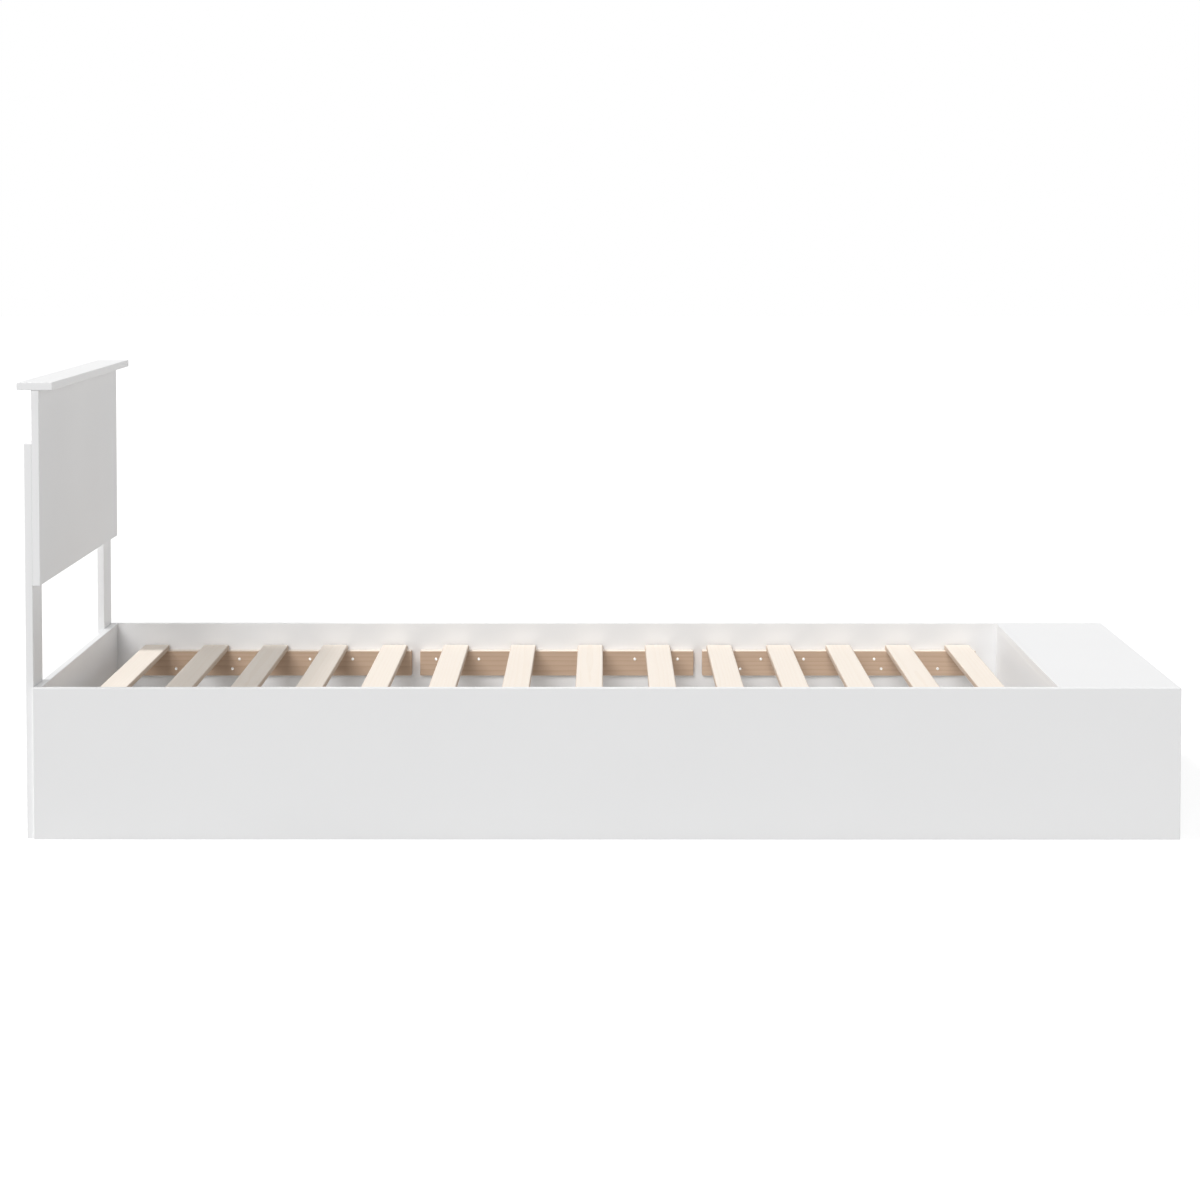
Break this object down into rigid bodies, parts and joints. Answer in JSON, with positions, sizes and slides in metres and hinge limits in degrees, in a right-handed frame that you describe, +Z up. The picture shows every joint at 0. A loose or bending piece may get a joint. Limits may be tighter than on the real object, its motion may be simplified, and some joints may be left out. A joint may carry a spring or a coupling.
{
  "type": "bed frame with shelf",
  "caption": "Low white single bed frame with full-length side rails, slats on battens, a headboard with a top ledge on plank posts and an open shelf unit across the foot end.",
  "frame": {"origin": "middle of the bed's bounding box, at floor level", "axes": "+X along the bed from the headboard to the foot, +Y across the bed to its right side seen from the foot end looking at the headboard, +Z up"},
  "size_m": [2.2826, 0.93, 0.9],
  "materials": {
    "white_melamine": "satin white melamine on particle board, white edge banding",
    "batten_pine": "planed pine, tan, bare",
    "slat_pine": "planed pine, pale cream, bare",
    "screw_steel": "bright zinc-plated steel",
    "cam_zinc": "die-cast zinc",
    "dowel_beech": "bare fluted beech"
  },
  "bodies": {
    "root": {"side_rail_left": "white_melamine", "side_rail_right": "white_melamine", "head_end_panel": "white_melamine", "headboard_panel": "white_melamine", "headboard_ledge": "white_melamine", "headboard_post_left": "white_melamine", "headboard_post_right": "white_melamine", "foot_shelf_top": "white_melamine", "foot_shelf_inner_panel": "white_melamine", "foot_shelf_bottom": "white_melamine", "foot_shelf_divider": "white_melamine", "foot_shelf_plinth": "white_melamine", "slat_batten_left_1": "batten_pine", "slat_batten_left_2": "batten_pine", "slat_batten_left_3": "batten_pine", "slat_batten_right_1": "batten_pine", "slat_batten_right_2": "batten_pine", "slat_batten_right_3": "batten_pine", "slat_01": "slat_pine", "slat_02": "slat_pine", "slat_03": "slat_pine", "slat_04": "slat_pine", "slat_05": "slat_pine", "slat_06": "slat_pine", "slat_07": "slat_pine", "slat_08": "slat_pine", "slat_09": "slat_pine", "slat_10": "slat_pine", "slat_11": "slat_pine", "slat_12": "slat_pine", "slat_13": "slat_pine", "slat_14": "slat_pine", "batten_screws_left": "screw_steel", "batten_screws_right": "screw_steel", "post_screws": "screw_steel", "cam_bolts": "screw_steel", "cam_locks": "cam_zinc", "dowels": "dowel_beech"}
  },
  "joints": []
}
